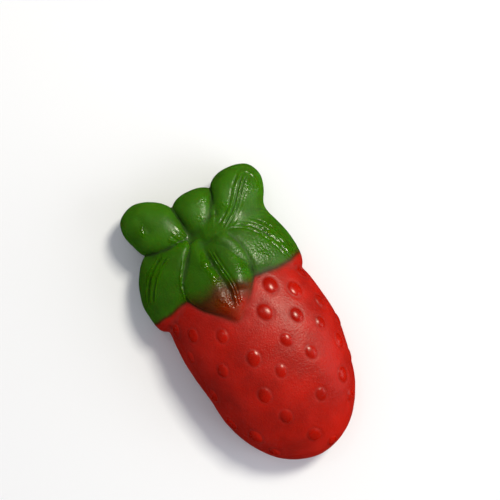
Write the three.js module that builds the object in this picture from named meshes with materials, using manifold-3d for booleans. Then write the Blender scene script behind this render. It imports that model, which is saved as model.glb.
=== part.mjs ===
// A moulded jelly sweet in the shape of a strawberry, lying on its back.
// It is one casting of two jellies: a red berry and a green leaf crown that meet at a seam.
// Millimetres. +Z is up, off the moulded front; +Y runs from the berry's tip to the crown.
// The origin is on the flat resting face, halfway along the sweet.
import * as THREE from "three";
import { mergeVertices } from "three/addons/utils/BufferGeometryUtils.js";
import Module from "manifold-3d";

const wasm = await Module();
wasm.setup();

// ---- Driving dimensions ----

const RESTING_LEVEL = 0; // the back is flat here
const BERRY_DETAIL = 9; // how finely each shape is faceted
const LEAF_DETAIL = 5;
const LIMIT = 40; // beyond the sweet on every side

const SEAM_GAP = 0.3; // between the two jellies
const SEAM_STEPS = 48; // straight pieces along the seam
const SEAM_LINE = [ // seen from above, left to right
  [-20, 4.9], [-13.3, 4.9], [-10.5, 5.1], [-7.3, 5.8], [-5.2, 4.8],
  [-3, 4.3], [-1.2, 4.9], [0.8, 5.4], [3.2, 4.9], [6.5, 4.7],
  [9.5, 4.8], [12, 5.5], [20, 5.6],
];

// Each lobe swells above and below a rim, whose outline is given as seen from above.
// rim: the rim's height at the lobe's middle.
// slope: how much higher the rim is a millimetre further along x, and further along y.
// boxy: 2 for an oval section, more for a flatter top and steeper sides.
const BERRY = {
  outline: [
    [13.15, -7.4], [12.6, -1.4], [11, 4.2], [7.2, 10.6], [0, 13.2],
    [-7.4, 11.4], [-11.4, 5.4], [-12.05, -1.6], [-10.75, -9.4], [-9.4, -16],
    [-5, -22.4], [1.6, -24.75], [7.6, -22.3], [11.4, -16.6],
  ],
  rim: 4, slope: [0, 0], rise: 9, swell: 4.6, boxy: 2.1,
};

// The plain back of the crown, which the leaves stand on.
const CROWN_BACK = {
  outline: [
    [11.2, 6], [9.2, 12.6], [5, 16.4], [-1, 18.6], [-7, 17.2],
    [-11.2, 14.6], [-13.2, 9], [-12.4, 4.4], [-6, 1.5], [6, 1.5],
  ],
  rim: 3.9, slope: [0, 0], rise: 4.4, swell: 3.3, boxy: 2.4,
};

const LEAVES = [
  {
    // left upright leaf
    outline: [
      [-2.5, 14.5], [-2.8, 17.6], [-3.5, 20.6], [-5.7, 22.7], [-9, 23.7],
      [-11.7, 22.5], [-12.4, 20.2], [-11.7, 17.7], [-10.4, 15.4], [-7.4, 13.7],
      [-4.2, 13.2],
    ],
    rim: 4.7, slope: [0.12, -0.08], rise: 3.9, swell: 3.7, boxy: 2.6,
  },
  {
    // right upright leaf
    outline: [
      [0.1, 13.5], [1.6, 16.4], [2.9, 19.2], [3.7, 21.4], [5.5, 22.6],
      [8.1, 22.9], [10.5, 22.1], [11.6, 19.9], [11.2, 17.3], [9.6, 14.7],
      [6.6, 13], [2.8, 12.4],
    ],
    rim: 4.8, slope: [-0.1, -0.08], rise: 4.1, swell: 3.8, boxy: 2.6,
  },
  {
    // stem stub
    outline: [
      [-2.8, 14.2], [-3.2, 17], [-3.7, 20], [-2.5, 21.5], [-0.2, 22],
      [2.3, 21.6], [3.7, 20.3], [3, 18], [1.9, 15.8], [0.7, 13.8],
      [-1.2, 12.9],
    ],
    rim: 4.8, slope: [0, -0.08], rise: 3.9, swell: 3.7, boxy: 2.6,
  },
  {
    // left sepal
    outline: [
      [-3.4, 14.4], [-6.6, 14.9], [-10.5, 15.3], [-13, 12.7], [-14.25, 9],
      [-14.1, 6.2], [-13.3, 3.7], [-11.6, 2.9], [-9, 3.9], [-6.4, 5.2],
      [-5.6, 8.4], [-4.4, 11.6],
    ],
    rim: 5.9, slope: [0.5, -0.1], rise: 3.3, swell: 4.2, boxy: 2.7,
  },
  {
    // right sepal
    outline: [
      [0.6, 14.2], [4.4, 15.2], [9.4, 14.5], [11.2, 11.3], [12.1, 7.6],
      [12.1, 4.7], [10.9, 3.1], [8.4, 3.9], [5.4, 4.5], [2.9, 4.9],
      [2, 8.5], [1, 11.4],
    ],
    rim: 6.8, slope: [-0.52, -0.2], rise: 3.2, swell: 4.4, boxy: 2.7,
  },
  {
    // middle sepal
    outline: [
      [-2, 14.9], [-4.6, 12.6], [-6.6, 9.8], [-7.2, 6.8], [-5.9, 3.9],
      [-3.6, 1.5], [-1.4, -0.4], [0.6, 0.9], [2.6, 3.1], [4.1, 6],
      [4.5, 9], [3.4, 12.2], [1, 14.6],
    ],
    rim: 9.3, slope: [0, -0.34], rise: 3.2, swell: 5, boxy: 2.3,
  },
];

// Lines pressed into the leaves, seen from above, from the crown's middle outwards.
const VEINS = [
  [[-1.5, 13.2], [-0.75, 9.6], [-0.4, 6.8], [-0.4, 4.0], [-0.8, 1.4]], // middle sepal
  [[-7.0, 14.2], [-10.2, 12.2], [-12.3, 10.0], [-13.7, 8.2]], // left sepal
  [[1.2, 14.4], [3.1, 15.9], [4.8, 17.6], [6.0, 19.8], [7.7, 21.9]], // right upright leaf
  [[2.8, 13.5], [4.7, 14.9], [6.4, 16.6], [7.8, 18.8], [9.6, 21.3]],
  [[4.2, 13.3], [6.3, 11.8], [8.0, 9.2], [9.1, 6.6], [9.7, 4.8]], // right sepal
  [[7.2, 13.7], [8.9, 12.3], [10.2, 10.0], [10.9, 7.5], [11.2, 5.2]],
  [[-4.0, 13.9], [-5.4, 16.4], [-6.6, 18.3]], // left upright leaf
];
const VEIN_RADIUS = 0.48;
const VEIN_DEPTH = 0.4;
const VEIN_SIDES = 6;
const VEIN_STEPS = 14;

// Seeds are low oval bumps. These lie on the front, seen from above.
const FRONT_SEEDS = [
  [5.4, 2.6], [8.6, 0.5], [2.9, -0.8], [11.5, -2.8], [-8.7, 0.6],
  [-4.6, -1.4], [-10.6, -2.2], [-6.8, -6.2], [11.6, -9.6], [9.8, -14.6],
  [-9.2, -14.4], [-6.6, -17.7], [5.4, -15.8], [-0.9, -16.6],
];
// The others lie in staggered rows over the front and sides, wherever there is room.
const SEED_LENGTH = 2.7;
const SEED_WIDTH = 2.2;
const SEED_HEIGHT = 0.3;
const SEED_ROOT = 0.5; // sunk below the skin
const SEED_SIDES = 8;
const SEED_LAYERS = 4;
const FIRST_ROW_Y = 2.6;
const ROW_SPACING = 3.05; // between rows, along the skin
const SEED_SPACING = 6.2; // within a row, along the skin
const PLACES_EACH_SIDE = 4; // of the middle, in a row
const SEED_WANDER = 0.6; // most that a seed strays from its place
const SEED_LOWEST = 1.3; // no seed centre is nearer the resting level
const SEED_APART = 3.7; // between a seed of the rows and any other
const CROWN_CLEARANCE = 0.9; // from a seed's centre to a leaf's edge

// ---- Solids ----

function solidFrom(geometry) {
  const bare = new THREE.BufferGeometry();
  bare.setAttribute("position", geometry.getAttribute("position"));
  if (geometry.index) bare.setIndex(geometry.index);
  const merged = mergeVertices(bare, 1e-4);
  return new wasm.Manifold(
    new wasm.Mesh({
      numProp: 3,
      vertProperties: merged.attributes.position.array,
      triVerts: new Uint32Array(merged.index.array),
    }),
  );
}

function meshFrom(solid, name, material) {
  const { vertProperties, triVerts } = solid.getMesh();
  const geometry = new THREE.BufferGeometry();
  geometry.setAttribute("position", new THREE.BufferAttribute(vertProperties, 3));
  geometry.setIndex(new THREE.BufferAttribute(triVerts, 1));
  geometry.computeVertexNormals();
  const mesh = new THREE.Mesh(geometry, material);
  mesh.name = name;
  return mesh;
}

// ---- Lobes ----

const CURVE_STEPS = 24; // points on the outline's curve for each point given
const SHARE_ROUNDS = 12; // enough to settle on a point's share of the way out

// The lobe's outline as a smooth curve about its centre, and the oval closest to it.
function rimOf(lobe) {
  if (lobe.curve) return lobe;
  const given = lobe.outline.map(([x, y]) => new THREE.Vector3(x, y, 0));
  const smooth = new THREE.CatmullRomCurve3(given, true, "catmullrom", 0.5);
  const curve = smooth.getPoints(given.length * CURVE_STEPS);
  const count = curve.length - 1; // the last point is the first again
  const mean = (value) => curve.slice(0, count).reduce((sum, p) => sum + value(p), 0) / count;
  const centre = { x: mean((p) => p.x), y: mean((p) => p.y) };
  curve.forEach((p) => p.sub(centre));
  const xx = 2 * mean((p) => p.x * p.x);
  const xy = 2 * mean((p) => p.x * p.y);
  const yy = 2 * mean((p) => p.y * p.y);
  return Object.assign(lobe, { curve, centre, oval: { xx, xy, yy, area: xx * yy - xy * xy } });
}

// Distance from the lobe's centre to its outline in the direction (x, y), which has length 1.
function reachOf(lobe, x, y) {
  const { curve } = rimOf(lobe);
  for (let i = 0; i + 1 < curve.length; i++) {
    const a = curve[i];
    const b = curve[i + 1];
    const sideA = x * a.y - y * a.x;
    const sideB = x * b.y - y * b.x;
    if (sideA * sideB > 0 || sideA === sideB) continue;
    const along = sideA / (sideA - sideB);
    const reach = x * (a.x + (b.x - a.x) * along) + y * (a.y + (b.y - a.y) * along);
    if (reach > 0) return reach;
  }
  throw new Error("the outline doesn't go round its centre");
}

// The lobe's reach at a share of the way out: the oval in the middle, the outline at the rim.
function reachAt(lobe, x, y, share, outer = reachOf(lobe, x, y)) {
  const { xx, xy, yy, area } = rimOf(lobe).oval;
  const oval = Math.sqrt(area / (yy * x * x - 2 * xy * x * y + xx * y * y));
  return THREE.MathUtils.lerp(oval, outer, share * share);
}

// Share of the way from the lobe's centre to its outline at (x, y).
function shareAt(lobe, x, y) {
  const { centre } = rimOf(lobe);
  const distance = Math.hypot(x - centre.x, y - centre.y);
  if (distance === 0) return 0;
  const toX = (x - centre.x) / distance;
  const toY = (y - centre.y) / distance;
  const outer = reachOf(lobe, toX, toY);
  let share = distance / outer;
  for (let round = 0; round < SHARE_ROUNDS; round++) {
    share = (share + distance / reachAt(lobe, toX, toY, Math.min(share, 1), outer)) / 2;
  }
  return share;
}

function rimHeight(lobe, x, y) {
  const { centre, slope } = rimOf(lobe);
  return lobe.rim + slope[0] * (x - centre.x) + slope[1] * (y - centre.y);
}

// How much of its rise the lobe keeps at a share of the way out.
function fullness(lobe, share) {
  return Math.sqrt(1 - Math.min(share, 1) ** lobe.boxy);
}

function topOf(lobe, x, y) {
  const share = shareAt(lobe, x, y);
  return share < 1 ? rimHeight(lobe, x, y) + lobe.rise * fullness(lobe, share) : -Infinity;
}

function lobeSolid(lobe, detail) {
  const ball = new THREE.IcosahedronGeometry(1, detail);
  const positions = ball.getAttribute("position");
  const p = new THREE.Vector3();
  for (let i = 0; i < positions.count; i++) {
    p.fromBufferAttribute(positions, i).normalize();
    const share = Math.hypot(p.x, p.y);
    const reach = share > 0 ? reachAt(lobe, p.x / share, p.y / share, share) : 0;
    const x = rimOf(lobe).centre.x + p.x * reach;
    const y = lobe.centre.y + p.y * reach;
    const height = fullness(lobe, share) * (p.z > 0 ? lobe.rise : -lobe.swell);
    positions.setXYZ(i, x, y, rimHeight(lobe, x, y) + height);
  }
  return solidFrom(ball);
}

function crownTop(x, y) {
  return Math.max(...LEAVES.map((leaf) => topOf(leaf, x, y)), topOf(CROWN_BACK, x, y));
}

// ---- Vein grooves ----

// A groove is a tube laid along the crown's top; its ends rise out of the surface.
function veinSolid(vein) {
  const plan = new THREE.CatmullRomCurve3(vein.map(([x, y]) => new THREE.Vector3(x, y, 0)));
  const points = plan.getPoints(VEIN_STEPS).map(({ x, y }, i) => {
    const atEnd = i === 0 || i === VEIN_STEPS;
    const lift = VEIN_RADIUS - (atEnd ? 0 : VEIN_DEPTH);
    return new THREE.Vector3(x, y, crownTop(x, y) + lift);
  });
  const round = new THREE.Shape(
    Array.from({ length: VEIN_SIDES }, (_, i) => {
      const angle = (i / VEIN_SIDES) * 2 * Math.PI;
      return new THREE.Vector2(VEIN_RADIUS * Math.cos(angle), VEIN_RADIUS * Math.sin(angle));
    }),
  );
  return solidFrom(
    new THREE.ExtrudeGeometry(round, {
      steps: VEIN_STEPS,
      extrudePath: new THREE.CatmullRomCurve3(points),
    }),
  );
}

// ---- Seeds ----

const HALVINGS = 30; // when a value is searched for
const WALK_TURN = THREE.MathUtils.degToRad(2); // a step round the berry's section
const WALK_LENGTH = 0.05; // a step down the middle of its front

// Where the berry's rim is, on one side, in the cross-section at y.
function rimX(y, side) {
  let inner = BERRY.centre.x;
  let outer = inner + side * LIMIT;
  for (let i = 0; i < HALVINGS; i++) {
    const x = (inner + outer) / 2;
    if (shareAt(BERRY, x, y) < 1) inner = x;
    else outer = x;
  }
  return inner;
}

// A point of the berry's skin in the cross-section at y. The turn is 0 at the top of the dome,
// 90 degrees at the right rim, -90 at the left one, and more than that on the back.
function skinPoint(y, turn, left = rimX(y, -1), right = rimX(y, 1)) {
  const x = (left + right) / 2 + ((right - left) / 2) * Math.sin(turn);
  const onTop = Math.abs(turn) <= Math.PI / 2;
  const height = fullness(BERRY, shareAt(BERRY, x, y)) * (onTop ? BERRY.rise : -BERRY.swell);
  return new THREE.Vector3(x, y, BERRY.rim + height);
}

// Walks from the top of the dome round the section and stops after a distance along the skin.
function walkRound(y, distance) {
  const rims = [rimX(y, -1), rimX(y, 1)];
  const step = WALK_TURN * Math.sign(distance);
  let turn = 0;
  let here = skinPoint(y, 0, ...rims);
  for (let walked = 0; walked < Math.abs(distance); ) {
    turn += step;
    if (Math.abs(turn) >= Math.PI) return null;
    const next = skinPoint(y, turn, ...rims);
    walked += next.distanceTo(here);
    here = next;
  }
  return here;
}

// Walks from the first row down the middle of the dome, a row's spacing at a time.
function seedRows() {
  const rows = [FIRST_ROW_Y];
  const tipY = Math.min(...BERRY.outline.map(([, y]) => y));
  let walked = 0;
  let here = skinPoint(FIRST_ROW_Y, 0);
  for (let y = FIRST_ROW_Y - WALK_LENGTH; y > tipY + 2 * WALK_LENGTH; y -= WALK_LENGTH) {
    const next = skinPoint(y, 0);
    walked += next.distanceTo(here);
    here = next;
    if (walked >= rows.length * ROW_SPACING) rows.push(y);
  }
  return rows;
}

// A repeatable number from -1 to 1 for each row, place and use.
function wander(row, place, use) {
  const wave = Math.sin(row * 12.9898 + place * 78.233 + use * 37.719) * 43758.5453;
  return 2 * (wave - Math.floor(wave)) - 1;
}

function skinNormal({ x, y, z }) {
  const fill = (atX, atY) => shareAt(BERRY, atX, atY) ** BERRY.boxy;
  const nudge = 0.02;
  const height = z > BERRY.rim ? BERRY.rise : BERRY.swell;
  return new THREE.Vector3(
    (fill(x + nudge, y) - fill(x - nudge, y)) / (2 * nudge),
    (fill(x, y + nudge) - fill(x, y - nudge)) / (2 * nudge),
    (2 * (z - BERRY.rim)) / (height * height),
  ).normalize();
}

function clearOfCrown(point) {
  for (let i = 0; i < SEED_SIDES; i++) {
    const angle = (i / SEED_SIDES) * 2 * Math.PI;
    const x = point.x + CROWN_CLEARANCE * Math.cos(angle);
    const y = point.y + CROWN_CLEARANCE * Math.sin(angle);
    if (LEAVES.some((leaf) => topOf(leaf, x, y) > point.z - SEED_HEIGHT)) return false;
  }
  return true;
}

function seedPlaces() {
  const places = FRONT_SEEDS.map(([x, y]) => new THREE.Vector3(x, y, topOf(BERRY, x, y)));
  seedRows().forEach((rowY, row) => {
    const offset = row % 2 === 0 ? 0 : SEED_SPACING / 2;
    for (let place = -PLACES_EACH_SIDE; place <= PLACES_EACH_SIDE; place++) {
      const y = rowY + SEED_WANDER * wander(row, place, 1);
      const distance = place * SEED_SPACING + offset + SEED_WANDER * wander(row, place, 2);
      const point = walkRound(y, distance);
      if (!point || point.z < SEED_LOWEST) continue;
      const apart = places.every((other) => other.distanceTo(point) > SEED_APART);
      if (apart && clearOfCrown(point)) places.push(point);
    }
  });
  return places;
}

// An ellipsoid, sunk so that it crosses the skin in an oval of the seed's length and width.
function seedSolid(point) {
  const seed = new THREE.SphereGeometry(1, SEED_SIDES, SEED_LAYERS);
  const halfHeight = SEED_HEIGHT + SEED_ROOT;
  const atSkin = Math.sqrt(1 - (SEED_ROOT / halfHeight) ** 2);
  seed.scale(SEED_WIDTH / 2 / atSkin, halfHeight, SEED_LENGTH / 2 / atSkin);
  const up = skinNormal(point);
  const across = new THREE.Vector3(0, 1, 0).cross(up).normalize();
  const lengthwise = across.clone().cross(up);
  const middle = point.clone().addScaledVector(up, -SEED_ROOT);
  seed.applyMatrix4(new THREE.Matrix4().makeBasis(across, up, lengthwise).setPosition(middle));
  return solidFrom(seed);
}

// ---- The whole sweet, and its two jellies ----

// Everything on one side of the seam: -1 is the berry's side, 1 is the crown's.
function sideOfSeam(side) {
  const seam = new THREE.SplineCurve(SEAM_LINE.map(([x, y]) => new THREE.Vector2(x, y)));
  const shift = (side * SEAM_GAP) / 2;
  const edge = seam.getPoints(SEAM_STEPS).map(({ x, y }) => new THREE.Vector2(x, y + shift));
  const [first, last] = [edge[0], edge[edge.length - 1]];
  const far = [
    new THREE.Vector2(last.x, side * LIMIT),
    new THREE.Vector2(first.x, side * LIMIT),
  ];
  const slab = new THREE.ExtrudeGeometry(new THREE.Shape([...edge, ...far]), {
    depth: LIMIT,
    bevelEnabled: false,
  });
  slab.translate(0, 0, RESTING_LEVEL);
  return solidFrom(slab);
}

let crown = lobeSolid(CROWN_BACK, LEAF_DETAIL);
for (const leaf of LEAVES) crown = crown.add(lobeSolid(leaf, LEAF_DETAIL));
for (const vein of VEINS) crown = crown.subtract(veinSolid(vein));
let sweet = lobeSolid(BERRY, BERRY_DETAIL).add(crown);
for (const place of seedPlaces()) sweet = sweet.add(seedSolid(place));

const redJelly = new THREE.MeshStandardMaterial({ color: 0xa01a10, roughness: 0.5, metalness: 0 });
const greenJelly = new THREE.MeshStandardMaterial({ color: 0x2d5a10, roughness: 0.4, metalness: 0 });

const strawberrySweet = new THREE.Group();
strawberrySweet.add(
  meshFrom(sweet.intersect(sideOfSeam(-1)), "berry", redJelly),
  meshFrom(sweet.intersect(sideOfSeam(1)), "leaf_crown", greenJelly),
);

export default strawberrySweet;
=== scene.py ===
"""A moulded jelly sweet in the shape of a strawberry, lying on its back.

The CAD model holds its two jellies as two faceted solids. Here they become one smooth skin
with the same outlines: the colours run into each other at the seam, as cast jelly does.
Shapes are worked out in millimetres and turned into metres when the mesh is done. x runs
across the sweet, y from the berry's tip to the crown, and z up from the floor.
"""
import math

import bmesh
import bpy
import numpy as np
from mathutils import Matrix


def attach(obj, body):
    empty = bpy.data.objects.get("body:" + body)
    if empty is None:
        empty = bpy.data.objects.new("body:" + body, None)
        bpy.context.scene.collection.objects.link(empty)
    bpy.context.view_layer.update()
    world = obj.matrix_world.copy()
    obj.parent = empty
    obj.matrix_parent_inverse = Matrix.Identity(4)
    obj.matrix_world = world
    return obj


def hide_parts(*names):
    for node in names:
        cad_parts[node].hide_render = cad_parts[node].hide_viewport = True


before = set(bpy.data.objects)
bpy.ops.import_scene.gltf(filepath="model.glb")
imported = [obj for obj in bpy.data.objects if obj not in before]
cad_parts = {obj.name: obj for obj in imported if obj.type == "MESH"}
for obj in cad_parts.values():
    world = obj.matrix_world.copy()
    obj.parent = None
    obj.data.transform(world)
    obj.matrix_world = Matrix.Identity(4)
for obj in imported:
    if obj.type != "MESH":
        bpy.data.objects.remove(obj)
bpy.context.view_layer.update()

import openvdb
from mathutils import Matrix, Vector, noise

MM = 0.001

# ---- The sweet's shape: outlines, heights and the seeds' places as in the CAD model ----

# Each lobe swells above and below a rim, whose outline is given as seen from above.
# rise, swell: how far it bulges above and below the rim at its middle.
# rim: the rim's height at the lobe's middle.
# slope: how much higher the rim is a millimetre further along x, and further along y.
# boxy: 2 for an oval section, more for a flatter top and steeper sides.
BERRY = {
    "outline": [(13.15, -7.4), (12.6, -1.4), (11.0, 4.2), (7.2, 10.6), (0.0, 13.2),
                (-7.4, 11.4), (-11.4, 5.4), (-12.05, -1.6), (-10.75, -9.4), (-9.4, -16.0),
                (-5.0, -22.4), (1.6, -24.75), (7.6, -22.3), (11.4, -16.6)],
    "rim": 4.0, "slope": (0, 0), "rise": 9.0, "swell": 4.6, "boxy": 2.1,
}
# The plain back of the crown, which the leaves stand on.
CROWN_BACK = {
    "outline": [(11.2, 6.0), (9.2, 12.6), (5.0, 16.4), (-1.0, 18.6), (-7.0, 17.2),
                (-11.2, 14.6), (-13.2, 9.0), (-12.4, 4.4), (-6.0, 1.5), (6.0, 1.5)],
    "rim": 3.9, "slope": (0, 0), "rise": 4.4, "swell": 3.3, "boxy": 2.4,
}
LEAVES = {
    "left_upright": {
        "outline": [(-2.5, 14.5), (-2.8, 17.6), (-3.5, 20.6), (-5.7, 22.7), (-9.0, 23.7),
                    (-11.7, 22.5), (-12.4, 20.2), (-11.7, 17.7), (-10.4, 15.4),
                    (-7.4, 13.7), (-4.2, 13.2)],
        "rim": 4.7, "slope": (0.12, -0.08), "rise": 3.9, "swell": 3.7, "boxy": 2.6,
    },
    "right_upright": {
        "outline": [(0.1, 13.5), (1.6, 16.4), (2.9, 19.2), (3.7, 21.4), (5.5, 22.6),
                    (8.1, 22.9), (10.5, 22.1), (11.6, 19.9), (11.2, 17.3), (9.6, 14.7),
                    (6.6, 13.0), (2.8, 12.4)],
        "rim": 4.8, "slope": (-0.1, -0.08), "rise": 4.1, "swell": 3.8, "boxy": 2.6,
    },
    "stub": {
        "outline": [(-2.8, 14.2), (-3.2, 17.0), (-3.7, 20.0), (-2.5, 21.5), (-0.2, 22.0),
                    (2.3, 21.6), (3.7, 20.3), (3.0, 18.0), (1.9, 15.8), (0.7, 13.8),
                    (-1.2, 12.9)],
        "rim": 4.8, "slope": (0, -0.08), "rise": 3.9, "swell": 3.7, "boxy": 2.6,
    },
    "left_sepal": {
        "outline": [(-3.4, 14.4), (-6.6, 14.9), (-10.5, 15.3), (-13.0, 12.7), (-14.25, 9.0),
                    (-14.1, 6.2), (-13.3, 3.7), (-11.6, 2.9), (-9.0, 3.9), (-6.4, 5.2),
                    (-5.6, 8.4), (-4.4, 11.6)],
        "rim": 5.9, "slope": (0.5, -0.1), "rise": 3.3, "swell": 4.2, "boxy": 2.7,
    },
    "right_sepal": {
        "outline": [(0.6, 14.2), (4.4, 15.2), (9.4, 14.5), (11.2, 11.3), (12.1, 7.6),
                    (12.1, 4.7), (10.9, 3.1), (8.4, 3.9), (5.4, 4.5), (2.9, 4.9),
                    (2.0, 8.5), (1.0, 11.4)],
        "rim": 6.8, "slope": (-0.52, -0.2), "rise": 3.2, "swell": 4.4, "boxy": 2.7,
    },
    "middle_sepal": {
        "outline": [(-2.0, 14.9), (-4.6, 12.6), (-6.6, 9.8), (-7.2, 6.8), (-5.9, 3.9),
                    (-3.6, 1.5), (-1.4, -0.4), (0.6, 0.9), (2.6, 3.1), (4.1, 6.0),
                    (4.5, 9.0), (3.4, 12.2), (1.0, 14.6)],
        "rim": 9.3, "slope": (0, -0.34), "rise": 3.2, "swell": 5.0, "boxy": 2.3,
    },
}

# Where the green jelly meets the red, seen from above.
SEAM_LINE = [(-20, 4.9), (-13.3, 4.9), (-10.5, 5.1), (-7.3, 5.8), (-5.2, 4.8), (-3.0, 4.3),
             (-1.2, 4.9), (0.8, 5.4), (3.2, 4.9), (6.5, 4.7), (9.5, 4.8), (12, 5.5), (20, 5.6)]
# How green the middle sepal is at each distance past that line: 0.5 is brown.
SEPAL_BLEND = [(-9.0, 0), (-5.6, 0.16), (-4.0, 0.28), (-1.8, 0.42), (-0.4, 0.48), (0.9, 0.75),
               (2.0, 1)]
# How much further down the middle sepal the green reaches, at each x.
SEPAL_SHIFT = [(-7.2, 1.0), (-4.6, 0), (-2.6, -1.1), (-1.2, -0.7), (-0.2, 0.2), (2.0, 0.8)]

# Seeds are low oval domes. These lie on the front, seen from above.
FRONT_SEEDS = [(5.4, 2.6), (8.6, 0.5), (2.9, -0.8), (11.5, -2.8), (-8.7, 0.6), (-4.6, -1.4),
               (-10.6, -2.2), (-6.8, -6.2), (11.6, -9.6), (9.8, -14.6), (-9.2, -14.4),
               (-6.6, -17.7), (5.4, -15.8), (-0.9, -16.6)]
# The others lie in staggered rows over the front and sides, wherever there is room.
SEED_LENGTH = 2.7
SEED_WIDTH = 2.2
SEED_HEIGHT = 0.26
FIRST_ROW_Y = 2.6
ROW_SPACING = 3.05  # between rows, along the skin
SEED_SPACING = 6.2  # within a row, along the skin
PLACES_EACH_SIDE = 4  # of the middle, in a row
SEED_WANDER = 0.6  # most that a seed strays from its place
SEED_LOWEST = 1.3  # no seed's centre is nearer the floor
SEED_APART = 3.7  # between a seed of the rows and any other
CROWN_CLEARANCE = 0.9  # from a seed's centre to a leaf's edge
LARGE_SEEDS = 3  # so many of the front seeds, from the first, are full size
SMALL_SIZE = 0.84  # of all others, where a full size is 1
SIZE_SPREAD = 0.1  # most that a smaller seed's size strays from that
LEAN = math.radians(6)  # how far a seed's length turns off straight down the berry
LEAN_SPREAD = math.radians(16)  # most that it strays from that
DENT_DEPTH = 0.05  # of the ring round a seed

# Broad valleys and swells of the crown: depth, half width, and the way they run from the
# middle out. A negative depth is a swell.
FOLDS = [
    # the middle sepal's valley, two swells on its left and one on its right
    (0.60, 0.95, [(-1.9, 13.8), (-1.6, 10.9), (-1.4, 9.0), (-0.8, 6.1), (-0.7, 4.1), (-1.0, 1.8)]),
    (-0.30, 1.20, [(-2.8, 13.9), (-2.6, 12.2), (-2.4, 10.6), (-2.2, 9.2)]),
    (-0.26, 0.90, [(-2.6, 10.2), (-2.3, 9.0), (-2.0, 8.0), (-1.6, 6.9)]),
    (-0.55, 1.45, [(0.6, 13.0), (1.3, 10.4), (1.7, 8.0), (1.6, 6.0), (0.9, 3.9)]),
    # the groove along its right edge
    (0.20, 0.42, [(2.6, 13.0), (3.8, 10.8), (4.2, 8.7), (4.25, 7.0), (3.9, 5.3)]),
    # the left upright leaf's valley
    (0.16, 0.80, [(-8.0, 17.8), (-8.8, 19.6), (-9.0, 21.6)]),
]

# Fine veins in the same terms, where a negative depth is a ridge. Each set lies between the
# way of its first and the way of its last. share: how far a vein lies from the first way to
# the last. Beyond 1 it lies past the last.
VEIN_SETS = {
    "middle_sepal": {
        "first": [(-1.6, 12.6), (-1.4, 9.6), (-0.8, 6.2), (-0.7, 4.0), (-1.1, 1.3)],
        "last": [(-0.3, 11.4), (0.0, 8.8), (0.4, 6.1), (0.5, 3.9), (0.1, 1.8)],
        "veins": [  # share, depth, half width
            (0, 0.10, 0.20), (0.47, -0.23, 0.14), (0.62, 0.09, 0.10), (0.78, -0.21, 0.13),
            (1, 0.09, 0.14),
        ],
    },
    "left_sepal": {
        "first": [(-7.1, 13.2), (-8.5, 12.4), (-10.2, 10.7), (-11.1, 9.5), (-12.2, 7.6)],
        "last": [(-8.0, 14.6), (-10.4, 12.8), (-11.6, 11.6), (-12.5, 10.2), (-13.5, 8.0)],
        "veins": [
            (0, -0.14, 0.12), (0.22, 0.14, 0.15), (0.5, -0.13, 0.26), (0.78, 0.14, 0.14),
            (1, -0.14, 0.13),
        ],
    },
    "right_upright": {
        "first": [(2.0, 14.5), (4.2, 16.2), (5.3, 17.4), (6.6, 19.2), (8.6, 21.3)],
        "last": [(2.8, 13.4), (5.4, 15.4), (6.9, 17.1), (7.9, 18.4), (9.6, 20.4)],
        "veins": [
            (0, 0.13, 0.14), (0.32, -0.10, 0.14), (0.6, 0.11, 0.11), (0.8, -0.10, 0.10),
            (1, 0.10, 0.11), (1.5, 0.05, 0.12),
        ],
    },
    "right_sepal": {
        "first": [(3.6, 13.4), (6.0, 12.1), (7.9, 9.8), (9.1, 7.2), (9.8, 5.0)],
        "last": [(6.7, 13.8), (8.5, 12.5), (10.0, 10.4), (10.9, 8.0), (11.3, 5.7)],
        "veins": [
            (0, 0.07, 0.12), (0.3, 0.11, 0.12), (0.47, -0.11, 0.11), (0.64, 0.11, 0.12),
            (1, 0.09, 0.12),
        ],
    },
    "left_upright": {
        "first": [(-2.9, 14.8), (-3.6, 16.0), (-4.2, 17.6)],
        "last": [(-4.0, 13.6), (-5.3, 14.7), (-6.5, 15.6)],
        "veins": [
            (0, -0.06, 0.13), (0.2, 0.06, 0.12), (0.4, -0.06, 0.13), (0.6, 0.06, 0.12),
            (0.8, -0.06, 0.13), (1, 0.05, 0.12),
        ],
    },
}
# Depth, half width and way of each vein that lies by itself.
SINGLE_VEINS = [
    # on the middle sepal's left side
    (-0.10, 0.30, [(-1.8, 12.4), (-2.2, 10.6), (-2.3, 9.2), (-2.0, 7.9), (-1.8, 6.2)]),
    (-0.05, 0.20, [(-3.6, 3.6), (-2.8, 2.4), (-1.9, 1.3)]),
    (0.05, 0.20, [(-3.3, 4.0), (-2.5, 2.9), (-1.7, 2.0)]),
    # the left sepal's edge beside the middle one
    (-0.22, 0.17, [(-4.9, 12.4), (-6.3, 10.2), (-7.0, 8.8), (-7.3, 7.4), (-7.5, 5.4)]),
    # near the tips of the right and the left upright leaf
    (-0.16, 0.14, [(9.9, 16.8), (10.5, 18.2), (10.4, 19.4), (10.0, 20.3), (9.3, 21.1)]),
    (-0.11, 0.13, [(-8.6, 19.9), (-9.1, 19.4), (-9.3, 18.6), (-9.4, 17.7)]),
]


def vein_between(first, last, share):
    """The way that lies at that share of the distance from the first way to the last."""
    return [(a + (c - a) * share, b + (d - b) * share) for (a, b), (c, d) in zip(first, last)]


VEINS = SINGLE_VEINS + [
    (depth, half_width, vein_between(group["first"], group["last"], share))
    for group in VEIN_SETS.values()
    for share, depth, half_width in group["veins"]
]
LINES_LOWEST_Y = -1  # all the folds and veins lie above it

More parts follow.
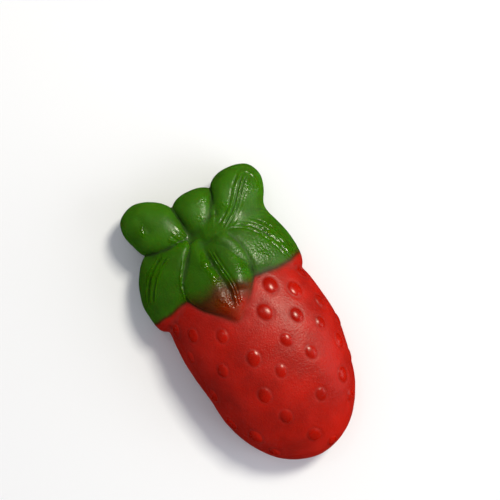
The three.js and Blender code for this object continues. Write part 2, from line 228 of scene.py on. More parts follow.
# Where the crown's front is wet and mottled: x, y and radius.
WET_SPOTS = [
    (6.9, 8.3, 2.3), (9.0, 10.9, 1.4), (10.4, 6.6, 1.0), (8.8, 17.8, 1.3), (4.2, 17.2, 0.9),
    (1.6, 19.3, 0.9), (0.2, 16.7, 1.0), (-4.2, 15.2, 1.2), (-9.2, 18.6, 0.8), (2.7, 9.1, 1.1),
    (2.6, 6.9, 1.4), (-1.9, 7.0, 1.3), (-2.2, 9.5, 1.1), (-1.8, 3.2, 1.7), (-10.6, 12.0, 1.4),
    (-7.2, 8.6, 0.9), (-7.4, 6.4, 1.1), (-2.0, 8.2, 0.9), (0.2, 2.4, 0.7),
]

# ---- Plan tables: what each lobe's shape is at every (x, y) ----

TABLE_STEP = 0.1
TABLE_X = np.arange(-17, 17 + TABLE_STEP / 2, TABLE_STEP)  # past the sweet's sides
TABLE_Y = np.arange(-28, 27 + TABLE_STEP / 2, TABLE_STEP)  # past its tip and its leaves
PLAN_X, PLAN_Y = np.meshgrid(TABLE_X, TABLE_Y, indexing="ij")
CURVE_STEPS = 24  # points on an outline's curve for each point given
SHARE_ROUNDS = 12  # enough to settle on a point's share of the way out
LEAST_STEEPNESS = 1e-4  # so that nothing is divided by 0 at a lobe's middle
FAR_BELOW = -100.0


def table_cell(x, y):
    """Which cell of the tables each (x, y) is in, and its place in the cell."""
    past_end = 1.001  # the table's last line counts as the end of its last cell
    column = np.clip((x - TABLE_X[0]) / TABLE_STEP, 0, len(TABLE_X) - past_end)
    row = np.clip((y - TABLE_Y[0]) / TABLE_STEP, 0, len(TABLE_Y) - past_end)
    i, j = column.astype(int), row.astype(int)
    return i, j, column - i, row - j


def look_up(table, cell):
    """The table's value in the cell, from the values at its four corners."""
    i, j, u, v = cell
    low = table[i, j] * (1 - u) + table[i + 1, j] * u
    high = table[i, j + 1] * (1 - u) + table[i + 1, j + 1] * u
    return low * (1 - v) + high * v


def curve_through(points, steps, closed=False):
    """A Catmull-Rom curve through the points, in so many steps from each to the next."""
    points = np.array(points, float)
    count = len(points)
    if not closed:
        first, last = 2 * points[0] - points[1], 2 * points[-1] - points[-2]
        points = np.vstack([first, points, last])
    spans = count if closed else count - 1
    pieces = []
    for i in range(spans):
        at = [(i + k - 1) % count for k in range(4)] if closed else [i + k for k in range(4)]
        a, b, c, d = points[at]
        t = np.linspace(0, 1, steps, endpoint=False)[:, None]
        pieces.append(
            0.5 * (2 * b + (c - a) * t + (2 * a - 5 * b + 4 * c - d) * t**2
                   + (3 * b - a - 3 * c + d) * t**3)
        )
    if not closed:
        pieces.append(points[-2:-1])
    return np.vstack(pieces)


def outline_share(curve, centre, x, y):
    """Share of the way from the centre to the outline: 1 on the outline.
    Near the centre it follows the oval closest to the outline, which keeps the top smooth."""
    rim = curve - centre
    angles = np.arctan2(rim[:, 1], rim[:, 0])
    order = np.argsort(angles)
    angles, reaches = angles[order], np.hypot(*rim[order].T)
    angles = np.concatenate([angles - 2 * np.pi, angles, angles + 2 * np.pi])
    reaches = np.tile(reaches, 3)
    dx, dy = x - centre[0], y - centre[1]
    distance, angle = np.hypot(dx, dy), np.arctan2(dy, dx)
    outer = np.interp(angle, angles, reaches)
    oval = np.linalg.inv(2 * rim.T @ rim / len(rim))
    across, up = np.cos(angle), np.sin(angle)
    oval_reach = 1 / np.sqrt(
        oval[0, 0] * across**2 + 2 * oval[0, 1] * across * up + oval[1, 1] * up**2
    )
    share = distance / outer
    for _ in range(SHARE_ROUNDS):
        blend = np.clip(share, 0, 1) ** 2
        share = (share + distance / (oval_reach * (1 - blend) + outer * blend)) / 2
    return share


def make_lobe(shape):
    """The lobe's tables: fill rises from 0 at its middle to 1 on its outline."""
    curve = curve_through(shape["outline"], CURVE_STEPS, closed=True)
    centre = curve.mean(0)
    fill = outline_share(curve, centre, PLAN_X, PLAN_Y) ** shape["boxy"]
    fill_x, fill_y = np.gradient(fill, TABLE_STEP)
    slope_x, slope_y = shape["slope"]
    return {
        "fill": fill,
        "steepness": np.hypot(fill_x, fill_y) / 2,
        "rim": shape["rim"] + slope_x * (PLAN_X - centre[0]) + slope_y * (PLAN_Y - centre[1]),
        "rise": shape["rise"],
        "swell": shape["swell"],
    }


BERRY_LOBE = make_lobe(BERRY)
CROWN_BACK_LOBE = make_lobe(CROWN_BACK)
LEAF_LOBES = {name: make_lobe(leaf) for name, leaf in LEAVES.items()}


def lobe_distance(lobe, cell, z):
    """Roughly how far outside the lobe each point is, negative inside."""
    lift = z - look_up(lobe["rim"], cell)
    height = np.where(lift > 0, lobe["rise"], lobe["swell"])
    radial = np.sqrt(look_up(lobe["fill"], cell) + (lift / height) ** 2)
    steepness = np.hypot(look_up(lobe["steepness"], cell), lift / height**2)
    return (radial - 1) * radial / np.maximum(steepness, LEAST_STEEPNESS)


def lobe_top(lobe, cell):
    """The lobe's upper surface, or far below where there is none."""
    fill = look_up(lobe["fill"], cell)
    dome = np.sqrt(np.maximum(1 - fill, 0)) * lobe["rise"]
    return np.where(fill < 1, look_up(lobe["rim"], cell) + dome, FAR_BELOW)


def soft_union(a, b, fillet):
    """The distance to two shapes in one, with a fillet where they meet."""
    overlap = np.maximum(fillet - np.abs(a - b), 0) / fillet
    return np.minimum(a, b) - overlap**2 * fillet / 4


LEAF_FILLET = 0.35  # between leaves
MIDDLE_FILLET = 2.2  # where they meet in the crown's middle
# The leaves' fillet grows to that from the first x to the second, and from the first y to the
# second. From the third y to the last it shrinks again.
MIDDLE_X = (-3.5, -0.5)
MIDDLE_Y = (11, 13.5, 16, 19)
LEDGE_FILLET = 0.4  # between the leaves and what they lie on
BACK_FILLET = 2.0  # between the berry and the crown's back
REST_FILLET = 0.5  # round the flat spot that it rests on


def sweet_distance(points):
    """Roughly how far outside the whole sweet each point is."""
    x, y, z = points.T
    cell = table_cell(x, y)
    body = soft_union(
        lobe_distance(BERRY_LOBE, cell, z), lobe_distance(CROWN_BACK_LOBE, cell, z), BACK_FILLET
    )
    middle = np.interp(x, MIDDLE_X, (0, 1)) * np.interp(y, MIDDLE_Y, (0, 1, 1, 0))
    fillet = LEAF_FILLET + (MIDDLE_FILLET - LEAF_FILLET) * middle
    leaves = None
    for lobe in LEAF_LOBES.values():
        distance = lobe_distance(lobe, cell, z)
        leaves = distance if leaves is None else soft_union(leaves, distance, fillet)
    whole = soft_union(body, leaves, LEDGE_FILLET)
    return -soft_union(-whole, z, REST_FILLET)  # cut off at the floor


# ---- Meshing: even quads on the surface, finer on the front and finest by the veins ----

CELL = 0.37
GRID_BOX = ((-16, 16), (-27, 26), (-1.5, 15))  # lowest and highest x, y and z, round the sweet
FIELD_LIMIT = 3.0  # distances beyond this aren't told apart
SLOPE_STEP = 0.02  # to each side of a point, to find the distance's slope there
LEAST_SQUARE_SLOPE = 0.05  # so that no point is flung away where the slope is slight
LONGEST_PULL = 0.3
SLIDE_SHARE = 0.6  # of the way to the middle of a vertex's neighbours
FRONT_LEAST_UP = -0.2  # faces that point lower than this keep the coarse cells
VEIN_BORDER = 0.3  # how far to each side of a vein the faces are finest
VEIN_CURVE_STEPS = 8


def coarse_mesh():
    """Quads about as large as a cell, close to the sweet's surface."""
    axes = [np.arange(low, high, CELL) for low, high in GRID_BOX]
    cells = np.stack(np.meshgrid(*axes, indexing="ij"), -1)
    distances = sweet_distance(cells.reshape(-1, 3)).reshape(cells.shape[:3])
    grid = openvdb.FloatGrid(FIELD_LIMIT)
    grid.copyFromArray(np.clip(distances, -FIELD_LIMIT, FIELD_LIMIT).astype(np.float32))
    points, quads = grid.convertToQuads(isovalue=0.0)
    points = points * CELL + [axis[0] for axis in axes]
    corners = points[quads]
    cross = np.cross(corners[:, 2] - corners[:, 0], corners[:, 3] - corners[:, 1])
    if np.einsum("ij,ij->", cross, corners.mean(1)) < 0:  # they face inwards
        quads = quads[:, ::-1]
    return points.astype(float), quads


def pull_to_surface(points, rounds=3):
    """Moves each point on to the sweet's surface, the shortest way."""
    for _ in range(rounds):
        distance = sweet_distance(points)
        slope = np.stack([
            (sweet_distance(points + step) - sweet_distance(points - step)) / (2 * SLOPE_STEP)
            for step in np.eye(3) * SLOPE_STEP
        ], -1)
        square = np.maximum((slope**2).sum(-1), LEAST_SQUARE_SLOPE)
        pull = np.clip(distance / square, -LONGEST_PULL, LONGEST_PULL)
        points = points - slope * pull[:, None]
    return points


def mesh_arrays(mesh):
    """The mesh's points and normals, and the two points of each edge."""
    points = np.empty(len(mesh.vertices) * 3)
    mesh.vertices.foreach_get("co", points)
    normals = np.empty(len(mesh.vertices) * 3)
    mesh.vertex_normals.foreach_get("vector", normals)
    edges = np.empty(len(mesh.edges) * 2, int)
    mesh.edges.foreach_get("vertices", edges)
    return points.reshape(-1, 3), normals.reshape(-1, 3), edges.reshape(-1, 2)


def put_points(mesh, points):
    """Moves the mesh's vertices to the points."""
    mesh.vertices.foreach_set("co", points.ravel())
    mesh.update()


def neighbour_mean(values, edges):
    """Each vertex's mean over its neighbours."""
    a, b = edges.T
    count = np.bincount(edges.ravel(), minlength=len(values))
    columns = values.reshape(len(values), -1).T
    total = np.stack([
        np.bincount(a, column[b], len(values)) + np.bincount(b, column[a], len(values))
        for column in columns
    ], -1)
    return (total / count[:, None]).reshape(values.shape)


def even_out(mesh, rounds):
    """Slides the vertices along the surface until their spacing is even."""
    for _ in range(rounds):
        points, normals, edges = mesh_arrays(mesh)
        shift = neighbour_mean(points, edges) - points
        shift -= normals * (shift * normals).sum(-1)[:, None]
        put_points(mesh, points + SLIDE_SHARE * shift)
    points, _, _ = mesh_arrays(mesh)
    put_points(mesh, pull_to_surface(points))


def quarter_faces(mesh, wanted):
    """Cuts each face that wanted() picks into four."""
    work = bmesh.new()
    work.from_mesh(mesh)
    work.faces.ensure_lookup_table()
    centres = np.array([face.calc_center_median() for face in work.faces])
    normals = np.array([face.normal for face in work.faces])
    picked = np.flatnonzero(wanted(centres, normals))
    edges = {edge for number in picked for edge in work.faces[number].edges}
    in_order = sorted(edges, key=lambda edge: edge.index)
    bmesh.ops.subdivide_edges(work, edges=in_order, cuts=1, use_grid_fill=True)
    work.to_mesh(mesh)
    work.free()
    mesh.update()


def faces_forward(centres, normals):
    """Which faces are on the front or the sides."""
    return normals[:, 2] > FRONT_LEAST_UP


def gap_to(way, place):
    """Each place's distance to the line through the way's points, and the share of the
    line's length that is passed there."""
    curve = curve_through(way, VEIN_CURVE_STEPS)
    travelled = np.linspace(0, 1, len(curve))
    gap = np.full(len(place), np.inf)
    share = np.zeros(len(place))
    for i in range(len(curve) - 1):
        step = curve[i + 1] - curve[i]
        t = np.clip((place - curve[i]) @ step / (step @ step), 0, 1)
        distance = np.linalg.norm(place - curve[i] - t[:, None] * step, axis=1)
        closer = distance < gap
        gap = np.where(closer, distance, gap)
        share = np.where(closer, travelled[i] + t * (travelled[i + 1] - travelled[i]), share)
    return gap, share


def beside_a_vein(centres, normals):
    """Which faces on the front have a vein close by."""
    near = np.zeros(len(centres), bool)
    front = np.flatnonzero((normals[:, 2] > 0) & (centres[:, 1] > LINES_LOWEST_Y))
    for _, _, way in VEINS:
        gap, _ = gap_to(way, centres[front, :2])
        near[front] |= gap < VEIN_BORDER
    return near


def smooth_sweet():
    """The sweet without its relief."""
    points, quads = coarse_mesh()
    mesh = bpy.data.meshes.new("jelly_strawberry")
    mesh.from_pydata(pull_to_surface(points).tolist(), [], quads.tolist())
    mesh.update()
    even_out(mesh, rounds=5)
    quarter_faces(mesh, faces_forward)
    even_out(mesh, rounds=3)
    quarter_faces(mesh, beside_a_vein)
    even_out(mesh, rounds=2)
    return mesh


# ---- Relief: seeds, veins and wrinkles raised along the skin's normals ----

SECTION_SCAN = np.linspace(-16, 16, 3201)  # finds the berry's sides to 0.01 mm
SECTION_POINTS = 361
CREST = SECTION_POINTS // 2  # the section's point at the top of the dome
WALK_LENGTH = 0.05  # of each step down the berry's crest, to measure along it
CLEARANCE_POINTS = 8

# What a number from wander() is for, so that no two uses draw the same.
UP_SCATTER = 1
ALONG_SCATTER = 2
LEAN_SCATTER = 3
SIZE_SCATTER = 4

SEED_REACH = 2.6  # nothing further from a seed's centre is part of it or of its dent
DOME_POWER = 0.85  # under 1 for a flatter top and a steeper edge
# These are in a seed's own measure, where 1 is the edge of its oval.
DOME_EDGE = 1.04
DENT_MIDDLE = 1.08
DENT_WIDTH = 0.25
MASK_EDGE = 1.12  # the mask has fallen to 0 here
MASK_BLUR = 0.25  # and it fell over this width
# Seeds are fainter towards the back.
FULL_SEED_Z = 4.5  # from here up they have their full height
FADING_HEIGHT = 4  # they would vanish this far below that
FAINTEST = 0.35  # but keep this share of their height

LINE_ENDS = 0.15  # a line fades in and out over this share of its length

# Each wave of the skin: height, size of its features, and where in the noise it starts.
SKIN_WAVES = [(0.12, 5.0, 1.0), (0.035, 1.7, 5.0)]
CROWN_WAVE = (0.014, 0.7, 3.0)
VEIN_WAVE = (1.1, 0.9, 7.0)  # its height is a share of a vein's depth
VEIN_STRENGTH = 0.85  # the mean share of its depth that a vein has

SEAM_CURVE_STEPS = 12
CROWN_BLEND = 2  # the width over which the crown's roughness sets in at the seam
SEPAL_END = 0.42  # this far outside the middle sepal, its mask has fallen to nothing
SEPAL_BLUR = 0.35  # and it fell over this distance


def wander(row, place, use):
    """A repeatable number from -1 to 1 for each row, place and use. Other large and uneven
    factors would do as well."""
    wave = math.sin(row * 12.9898 + place * 78.233 + use * 37.719) * 43758.5453
    return 2 * (wave - math.floor(wave)) - 1


def berry_section(y):
    """The berry's skin in the cross-section at y, from the middle of its back round its left
    side, over the top and round its right side to its back again."""
    scan_cell = table_cell(SECTION_SCAN, np.full(SECTION_SCAN.shape, y))
    inside = SECTION_SCAN[look_up(BERRY_LOBE["fill"], scan_cell) < 1]
    left, right = inside[0], inside[-1]
    turn = np.linspace(-np.pi, np.pi, SECTION_POINTS)
    x = (left + right) / 2 + (right - left) / 2 * np.sin(turn)
    fill = look_up(BERRY_LOBE["fill"], table_cell(x, np.full(x.shape, y)))
    height = np.sqrt(np.maximum(1 - fill, 0))
    z = BERRY["rim"] + height * np.where(
        np.abs(turn) <= np.pi / 2, BERRY["rise"], -BERRY["swell"]
    )
    return np.stack([x, np.full(x.shape, y), z], -1)


def way_along(points):
    """How far along the line through the points each of them is."""
    steps = np.linalg.norm(np.diff(points, axis=0), axis=1)
    return np.concatenate([[0], np.cumsum(steps)])


def along_section(y, distance):
    """The point at a distance along the skin from the top of the dome, or None."""
    section = berry_section(y)
    travelled = way_along(section)
    travelled -= travelled[CREST]
    if not travelled[0] < distance < travelled[-1]:
        return None
    return np.array([np.interp(distance, travelled, column) for column in section.T])


def seed_rows():
    """The y of each row, from the first down to the berry's tip."""
    tip_y = min(y for _, y in BERRY["outline"])
    ys = np.arange(FIRST_ROW_Y, tip_y + 2 * WALK_LENGTH, -WALK_LENGTH)
    travelled = way_along(np.array([berry_section(y)[CREST] for y in ys]))
    return np.interp(np.arange(0, travelled[-1], ROW_SPACING), travelled, ys)


def clear_of_crown(point):
    """Whether a seed at the point would be clear of every leaf above it."""
    ring = np.linspace(0, 2 * np.pi, CLEARANCE_POINTS, endpoint=False)
    across, up = CROWN_CLEARANCE * np.cos(ring), CROWN_CLEARANCE * np.sin(ring)
    cell = table_cell(point[0] + across, point[1] + up)
    highest = point[2] - SEED_HEIGHT
    return all((lobe_top(lobe, cell) < highest).all() for lobe in LEAF_LOBES.values())


def seed_places():
    """The seeds that lie as on the real sweet, then the rows' seeds that are clear of them."""
    places = []
    for x, y in FRONT_SEEDS:
        cell = table_cell(np.array([x]), np.array([y]))
        places.append(np.array([x, y, lobe_top(BERRY_LOBE, cell)[0]]))
    for row, row_y in enumerate(seed_rows()):
        offset = 0 if row % 2 == 0 else SEED_SPACING / 2
        for place in range(-PLACES_EACH_SIDE, PLACES_EACH_SIDE + 1):
            y = row_y + SEED_WANDER * wander(row, place, UP_SCATTER)
            stray = SEED_WANDER * wander(row, place, ALONG_SCATTER)
            point = along_section(y, place * SEED_SPACING + offset + stray)
            if point is None or point[2] < SEED_LOWEST:
                continue
            apart = all(np.linalg.norm(point - other) > SEED_APART for other in places)
            if apart and clear_of_crown(point):
                places.append(point)
    return places


def seed_size(number):
    """A seed's size beside a full size of 1."""
    if number < LARGE_SEEDS:
        return 1.0
    return SMALL_SIZE + SIZE_SPREAD * wander(number, 1, SIZE_SCATTER)


def across_seed(number, up, offset):
    """How far from a seed's centre each offset leads: 1 is the edge of its oval."""
    lean = LEAN + LEAN_SPREAD * wander(number, 0, LEAN_SCATTER)
    lengthwise = np.array([math.sin(lean), -math.cos(lean), 0])
    lengthwise -= up * (lengthwise @ up)
    lengthwise /= np.linalg.norm(lengthwise)
    crosswise = np.cross(lengthwise, up)
    size = seed_size(number)
    u = offset @ lengthwise / (SEED_LENGTH / 2 * size)
    v = offset @ crosswise / (SEED_WIDTH / 2 * size)
    return np.hypot(u, v)


def seed_relief(points, normals):
    """Each seed's low dome and the dent round it, and a mask of where the seeds are."""
    relief = np.zeros(len(points))
    mask = np.zeros(len(points))
    for number, centre in enumerate(seed_places()):
        square_distance = ((points - centre) ** 2).sum(-1)
        near = np.flatnonzero(square_distance < SEED_REACH**2)
        if not len(near):
            continue
        up = normals[near[square_distance[near].argmin()]]
        reach = across_seed(number, up, points[near] - centre)
        dome = np.maximum(1 - (reach / DOME_EDGE) ** 2, 0) ** DOME_POWER
        dent = np.exp(-(((reach - DENT_MIDDLE) / DENT_WIDTH) ** 2))
        strength = np.clip(1 - (FULL_SEED_Z - centre[2]) / FADING_HEIGHT, FAINTEST, 1)
        height = SEED_HEIGHT * dome - DENT_DEPTH * dent
        relief[near] += strength * seed_size(number) * height
        mask[near] = np.maximum(mask[near], np.clip((MASK_EDGE - reach) / MASK_BLUR, 0, 1))
    return relief, mask


def line_relief(points, normals, lines):
    """How far the crown's folds or veins move each point, and a mask of where they are."""
    relief = np.zeros(len(points))
    mask = np.zeros(len(points))
    front = np.flatnonzero((normals[:, 2] > 0) & (points[:, 1] > LINES_LOWEST_Y))
    for depth, half_width, way in lines:
        gap, share = gap_to(way, points[front, :2])
        fade = np.clip(np.minimum(share, 1 - share) / LINE_ENDS, 0, 1)
        fade *= 2 - fade  # eases in
        relief[front] -= depth * np.exp(-((gap / half_width) ** 2)) * fade
        # The mask is whole to one half width from the line and ends at three.
        on_line = np.clip(1.5 - gap / (2 * half_width), 0, 1)
        mask[front] = np.maximum(mask[front], fade * on_line)
    return relief, mask


def noise_at(points, size, start):
    """Smooth noise from -1 to 1 with features of that size. Each start gives other noise."""
    shift = Vector((start, start * 1.7, -start * 2.3))
    return np.array([noise.noise(Vector(p) / size + shift) for p in points])


def wave_at(points, wave):
    """The wave's height at each point."""
    height, size, start = wave
    return height * noise_at(points, size, start)


def past_the_seam(points):
    """How far each point is on the crown's side of the seam."""
    seam = curve_through(SEAM_LINE, SEAM_CURVE_STEPS)
    return points[:, 1] - np.interp(points[:, 0], seam[:, 0], seam[:, 1])


def on_middle_sepal(points):
    """1 on the middle sepal, falling to 0 just outside it."""
    cell = table_cell(*points[:, :2].T)
    outside = lobe_distance(LEAF_LOBES["middle_sepal"], cell, points[:, 2])
    return np.clip((SEPAL_END - outside) / SEPAL_BLUR, 0, 1)


def skin_relief(points, normals, past_seam):
    """How far the skin rises at each point, and masks of its seeds and its veins."""
    relief, seed_mask = seed_relief(points, normals)
    relief += line_relief(points, normals, FOLDS)[0]
    vein_lines, vein_mask = line_relief(points, normals, VEINS)
    relief += vein_lines * (VEIN_STRENGTH + wave_at(points, VEIN_WAVE))
    for wave in SKIN_WAVES:
        relief += wave_at(points, wave)
    on_crown = np.clip(past_seam / CROWN_BLEND + 0.5, 0, 1)
    relief += wave_at(points, CROWN_WAVE) * on_crown
    return relief, seed_mask, vein_mask


sweet_mesh = smooth_sweet()
points, normals, _ = mesh_arrays(sweet_mesh)
past_seam = past_the_seam(points)
on_sepal = on_middle_sepal(points)
relief, seed_mask, vein_mask = skin_relief(points, normals, past_seam)
points += normals * relief[:, None]
points[:, 2] = np.maximum(points[:, 2], 0)  # the spot it rests on stays flat
put_points(sweet_mesh, points)

# ---- Finish ----

SEAM_WAVE = (0.25, 2.2, 9.0)  # how far the seam wanders, in the terms of the skin's waves
BLEND_X = (2, 6)
BLEND_WIDTHS = (1.1, 1.9)  # of the colours' blend at the seam, left and right of those
SEPAL_PARTING_X = (-0.8, 0.8)
SEPAL_PARTING = (1, 2)  # how fast the middle sepal's colours part, left and right of those

# Narrow and broad creases: rounds of averaging, depth of a full crease, and weight.
CREASES = [(4, 0.05, 0.2), (40, 0.22, 0.9)]
MIDDLE_OF_CROWN_Y = 14
BRIGHT_RADIUS = 3  # this near the crown's middle, creases have less painted shade and dullness
BRIGHT_WEIGHT = 0.6  # by so much
# painted shade: how far the creases darken the colour
PAINTED_CREASE_SHADE = 0.6
CREASE_ON_RED = 0.25  # how strong the painted crease shade is on the red, where it is 1 on the green
LEAF_LIGHT_Y = (12, 17)  # from the first y to the second, the painted light in the upright leaves sets in
# painted light: how much lighter the upright leaves are at most
LEAF_PAINTED_LIGHT = 0.16

WET_WAVE = (1, 2.5, 11.0)
WET_FROM = 0.1  # a wet patch starts where the wave is this high
WET_OVER = 0.3  # and is wettest where it is this much higher
FRONT_FROM = 0.3  # the front starts where the normal's z is this
FRONT_OVER = 0.3  # and is whole where it is this much more
# What each takes off the roughness, and what a crease adds.
SEED_GLOSS = 0.14
VEIN_GLOSS = 0.18
WET_GLOSS = 0.17
HOLLOW_DULLNESS = 0.55


def how_green(points, past_seam, on_sepal):
    """0 in the red jelly and 1 in the green."""
    past_seam = past_seam + wave_at(points, SEAM_WAVE)
    blend = np.interp(points[:, 0], BLEND_X, BLEND_WIDTHS)
    share = np.clip(past_seam / blend + 0.5, 0, 1)
    share = share**2 * (3 - 2 * share)
    # The jellies ran together most along the middle sepal, down to its tip.
    past_seam += np.interp(points[:, 0], *zip(*SEPAL_SHIFT))
    past_seam *= np.interp(points[:, 0], SEPAL_PARTING_X, SEPAL_PARTING)
    run_together = np.interp(past_seam, *zip(*SEPAL_BLEND))
    return share + (run_together - share) * on_sepal


def depth_below(points, normals, edges, rounds):
    """How far each vertex lies below its surroundings: more rounds look further round it."""
    mean = points
    for _ in range(rounds):
        mean = neighbour_mean(mean, edges)
    return ((mean - points) * normals).sum(-1)


def how_hollow(points, normals, edges):
    """0 on open skin and 1 deep in a crease."""
    hollow = np.zeros(len(points))
    for rounds, full_depth, weight in CREASES:
        depth = depth_below(points, normals, edges, rounds)
        hollow += weight * np.clip(depth / full_depth, -1, 1)
    from_middle = np.hypot(points[:, 0], points[:, 1] - MIDDLE_OF_CROWN_Y)
    bright = BRIGHT_WEIGHT * np.exp(-((from_middle / BRIGHT_RADIUS) ** 2))
    return np.clip(hollow, 0, 1) * (1 - bright)


def painted_light_and_shade(points, green_share, hollow):
    """What the colour is multiplied by: painted shade in creases, painted light in the upright
    leaves.
    """
    crease = PAINTED_CREASE_SHADE * hollow * (CREASE_ON_RED + (1 - CREASE_ON_RED) * green_share)
    leaf_light = LEAF_PAINTED_LIGHT * green_share * np.interp(points[:, 1], LEAF_LIGHT_Y, (0, 1))
    return (1 - crease) * (1 + leaf_light)


def how_wet(points, normals):
    """1 where the skin is wet: in the spots on the front, and in patches elsewhere."""
    spots = np.zeros(len(points))
    for x, y, radius in WET_SPOTS:
        gap = np.hypot(points[:, 0] - x, points[:, 1] - y)
        spots = np.maximum(spots, np.exp(-((gap / radius) ** 2)))
    patches = np.clip((wave_at(points, WET_WAVE) - WET_FROM) / WET_OVER, 0, 1)
    front = np.clip((normals[:, 2] - FRONT_FROM) / FRONT_OVER, 0, 1)
    return patches + (spots - patches) * front


def add_attribute(mesh, name, values):
    """Stores a value for each vertex, which the material reads by name."""
    attribute = mesh.attributes.new(name, "FLOAT", "POINT")
    attribute.data.foreach_set("value", values)


points, normals, edges = mesh_arrays(sweet_mesh)
green_share = how_green(points, past_seam, on_sepal)
hollow = how_hollow(points, normals, edges)
wet = how_wet(points, normals) * np.maximum(green_share, on_sepal)
gloss = SEED_GLOSS * seed_mask + VEIN_GLOSS * vein_mask + WET_GLOSS * wet
add_attribute(sweet_mesh, "green_share", green_share)
add_attribute(sweet_mesh, "seed_mask", seed_mask)
# painted shade in the creases and painted light in the upright leaves
add_attribute(sweet_mesh, "shade", painted_light_and_shade(points, green_share, hollow))
add_attribute(sweet_mesh, "wet", wet)
add_attribute(sweet_mesh, "gloss", gloss - HOLLOW_DULLNESS * hollow)


# ---- The jelly's material, with sizes in millimetres ----

RED_JELLY = (0.40, 0.006, 0.001, 1)
GREEN_JELLY = (0.032, 0.125, 0.001, 1)
BROWN_MIX = (0.065, 0.022, 0.002, 1)  # halfway from the red to the green
CLOUD_SIZE = 4.0
CLOUD_LIGHT = (0.8, 1.16)  # what the clouds multiply the colour by
SEED_SHADE = 0.93  # what the seeds multiply it by: painted shade
NOISE_RANGE = (0.3, 0.7)  # the noise node is seldom lower or higher

SCATTER_WEIGHT = 0.7
SCATTER_RADIUS = (1.0, 0.25, 0.12)  # red light goes furthest under the skin
SCATTER_SCALE = 1.2
REFRACTION = 1.43

PATCH_SIZE = 2.5
ROUGHNESS = (0.36, 0.46)  # of its patches, before the gloss comes off
BUMP_HEIGHT = 0.09  # of a grain of strength 1
GRAIN_SIZE = 0.3
FINE_SIZE = 0.12
FINE_STRENGTH = 0.4  # of the fine grain, where the larger grain has 1
RED_STRENGTH = 0.65  # of both grains on the red
GREEN_STRENGTH = 0.4  # and on the green
MOTTLE_SIZE = 0.4
MOTTLE_STRENGTH = 2.0  # where the skin is wet
SEED_STRENGTH = 0.1  # of the whole bump on the seeds, where the rest has 1


def attribute_node(tree, name):
    made = tree.nodes.new("ShaderNodeAttribute")
    made.attribute_name = name
    return made.outputs["Fac"]


def noise_node(tree, vector, size, detail):
    """Noise with features of that size in millimetres, and with so many finer layers."""
    made = tree.nodes.new("ShaderNodeTexNoise")
    made.inputs["Scale"].default_value = 1 / (size * MM)
    made.inputs["Detail"].default_value = detail
    tree.links.new(vector, made.inputs["Vector"])
    return made.outputs["Fac"]


def spread(tree, value, ends, new_ends):
    """Maps the range between the ends to that between the new ends, and goes no further."""
    made = tree.nodes.new("ShaderNodeMapRange")
    for name, number in zip(("From Min", "From Max", "To Min", "To Max"), ends + new_ends):
        made.inputs[name].default_value = number
    tree.links.new(value, made.inputs["Value"])
    return made.outputs["Result"]


def arithmetic(tree, operation, a, b):
    made = tree.nodes.new("ShaderNodeMath")
    made.operation = operation
    for socket, value in zip(made.inputs, (a, b)):
        if isinstance(value, bpy.types.NodeSocket):
            tree.links.new(value, socket)
        else:
            socket.default_value = value
    return made.outputs["Value"]


def jelly_colour(tree, place, green, seed):
    """The two jellies' colours, cloudy, with painted shade (creases, seeds) and painted light
    (leaves).
    """
    jelly = tree.nodes.new("ShaderNodeValToRGB")
    stops = jelly.color_ramp.elements
    stops[0].color = RED_JELLY
    stops[1].color = GREEN_JELLY
    brown = stops.new(0.5)
    brown.color = BROWN_MIX
    tree.links.new(green, jelly.inputs["Fac"])

    cloud = noise_node(tree, place, CLOUD_SIZE, detail=3)
    cloud = spread(tree, cloud, NOISE_RANGE, CLOUD_LIGHT)
    # painted shade in creases and painted light in the upright leaves, from the shade attribute
    shade = arithmetic(tree, "MULTIPLY", cloud, attribute_node(tree, "shade"))
    # painted shade on the seeds
    shade = arithmetic(tree, "MULTIPLY", shade, spread(tree, seed, (0, 1), (1, SEED_SHADE)))
    shaded = tree.nodes.new("ShaderNodeMix")
    shaded.data_type = "RGBA"
    shaded.blend_type = "MULTIPLY"
    shaded.inputs["Factor"].default_value = 1
    tree.links.new(jelly.outputs["Color"], shaded.inputs["A"])
    tree.links.new(shade, shaded.inputs["B"])
    return shaded.outputs["Result"]


def jelly_roughness(tree, place):
    """Patchy roughness, less where the gloss is high."""
    patches = noise_node(tree, place, PATCH_SIZE, detail=2)
    patches = spread(tree, patches, NOISE_RANGE, ROUGHNESS)
    return arithmetic(tree, "SUBTRACT", patches, attribute_node(tree, "gloss"))


def jelly_bump(tree, place, green, seed):
    """Fine grain all over, mottling where the skin is wet, and hardly any on the seeds."""
    fine = noise_node(tree, place, FINE_SIZE, detail=1)
    fine = arithmetic(tree, "MULTIPLY", fine, FINE_STRENGTH)
    grain = noise_node(tree, place, GRAIN_SIZE, detail=2)
    grain = arithmetic(tree, "ADD", grain, fine)
    strength = spread(tree, green, (0, 1), (RED_STRENGTH, GREEN_STRENGTH))
    grain = arithmetic(tree, "MULTIPLY", grain, strength)
    mottle = noise_node(tree, place, MOTTLE_SIZE, detail=1)
    mottle = arithmetic(tree, "MULTIPLY", mottle, attribute_node(tree, "wet"))
    mottle = arithmetic(tree, "MULTIPLY", mottle, MOTTLE_STRENGTH)
    off_seeds = spread(tree, seed, (0, 1), (1, SEED_STRENGTH))
    bump = tree.nodes.new("ShaderNodeBump")
    bump.inputs["Distance"].default_value = BUMP_HEIGHT * MM
    tree.links.new(off_seeds, bump.inputs["Strength"])
    tree.links.new(arithmetic(tree, "ADD", grain, mottle), bump.inputs["Height"])
    return bump.outputs["Normal"]


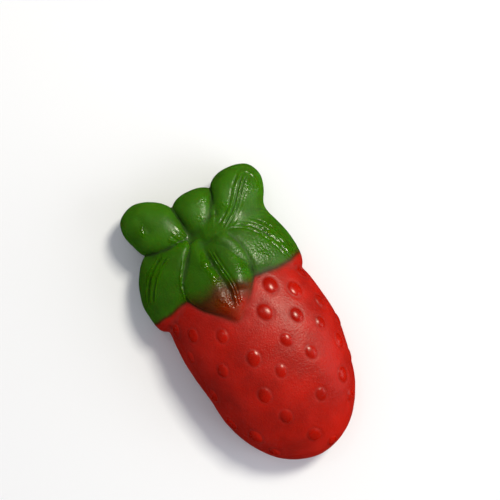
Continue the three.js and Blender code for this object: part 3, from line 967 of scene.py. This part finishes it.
def jelly_material():
    material = bpy.data.materials.new("two_jellies")
    material.use_nodes = True
    tree = material.node_tree
    shader = tree.nodes["Principled BSDF"]
    place = tree.nodes.new("ShaderNodeTexCoord").outputs["Object"]
    green = attribute_node(tree, "green_share")
    seed = attribute_node(tree, "seed_mask")
    tree.links.new(jelly_colour(tree, place, green, seed), shader.inputs["Base Color"])
    tree.links.new(jelly_roughness(tree, place), shader.inputs["Roughness"])
    tree.links.new(jelly_bump(tree, place, green, seed), shader.inputs["Normal"])
    shader.inputs["Subsurface Weight"].default_value = SCATTER_WEIGHT
    shader.inputs["Subsurface Radius"].default_value = SCATTER_RADIUS
    shader.inputs["Subsurface Scale"].default_value = SCATTER_SCALE * MM
    shader.inputs["IOR"].default_value = REFRACTION
    return material


put_points(sweet_mesh, points * MM)
sweet_mesh.shade_smooth()
sweet_mesh.materials.append(jelly_material())
sweet = bpy.data.objects.new("jelly_strawberry", sweet_mesh)
bpy.context.scene.collection.objects.link(sweet)
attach(sweet, "root")
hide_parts("berry", "leaf_crown")

# ---- Studio ----

FLOOR_SIZE = 3
FLOOR_COLOUR = (0.88, 0.90, 0.99, 1)
FLOOR_ROUGHNESS = 0.6
ROOM_LIGHT = 0.4

VIEW_TURN = math.radians(-25)
VIEW_TILT = math.radians(86)
LOOK_AT = Vector((5.05, 9.3, 4.0)) * MM
PICTURE_WIDTH = 80.2 * MM  # of what the camera sees at that point
LENS = 85.0
SENSOR = 36.0
NEAREST_SEEN = 10 * MM

LIGHT_TARGET = Vector((0, 0, 6)) * MM
LIGHT_DISTANCE = 0.6


def pale_floor():
    bpy.ops.mesh.primitive_plane_add(size=FLOOR_SIZE)
    floor = bpy.context.object
    floor.name = "floor"
    floor.visible_glossy = False
    material = bpy.data.materials.new("pale_floor")
    material.use_nodes = True
    shader = material.node_tree.nodes["Principled BSDF"]
    shader.inputs["Base Color"].default_value = FLOOR_COLOUR
    shader.inputs["Roughness"].default_value = FLOOR_ROUGHNESS
    floor.data.materials.append(material)
    return floor


def white_room():
    """Even light from all round, which the sweet doesn't mirror."""
    world = bpy.data.worlds.new("studio")
    world.use_nodes = True
    background = world.node_tree.nodes["Background"]
    background.inputs["Color"].default_value = (1, 1, 1, 1)
    background.inputs["Strength"].default_value = ROOM_LIGHT
    world.cycles_visibility.glossy = False
    return world


pale_floor()
bpy.context.scene.world = white_room()
bpy.context.scene.view_settings.view_transform = "Standard"

right = Vector((math.cos(VIEW_TURN), math.sin(VIEW_TURN), 0))
ahead = Vector((-math.sin(VIEW_TURN), math.cos(VIEW_TURN), 0))
look = ahead * math.cos(VIEW_TILT) - Vector((0, 0, math.sin(VIEW_TILT)))
up = right.cross(look)


def photo_camera():
    """The camera at the photo's angle, as far off as its lens needs for the picture."""
    data = bpy.data.cameras.new("camera")
    data.lens = LENS
    data.sensor_width = SENSOR
    data.clip_start = NEAREST_SEEN
    camera = bpy.data.objects.new("camera", data)
    distance = PICTURE_WIDTH * LENS / SENSOR
    turn = Matrix((right, up, -look)).transposed()
    camera.matrix_world = Matrix.Translation(LOOK_AT - look * distance) @ turn.to_4x4()
    bpy.context.scene.collection.objects.link(camera)
    return camera


def softbox(name, toward, size, power, colour=(1, 1, 1), shines=True):
    """A square light that faces the sweet. toward is in picture terms: right, up, out.
    One that doesn't shine leaves no highlight."""
    data = bpy.data.lights.new(name, "AREA")
    data.shape = "SQUARE"
    data.size = size
    data.energy = power
    data.color = colour
    light = bpy.data.objects.new(name, data)
    direction = (right * toward[0] + up * toward[1] - look * toward[2]).normalized()
    light.location = LIGHT_TARGET + direction * LIGHT_DISTANCE
    light.rotation_euler = (-direction).to_track_quat("-Z", "Y").to_euler()
    light.visible_glossy = shines
    bpy.context.scene.collection.objects.link(light)


bpy.context.scene.camera = photo_camera()
softbox("key", toward=(0.55, 0.65, 1.0), size=0.14, power=2.8, colour=(1.0, 0.95, 0.77))
softbox("spark", toward=(-0.3, 0.45, 1.0), size=0.03, power=0.08)
softbox("rim", toward=(1.0, 0.1, 0.3), size=0.3, power=0.4)
softbox("side", toward=(1.0, -0.3, 0.5), size=0.35, power=1.1, shines=False)
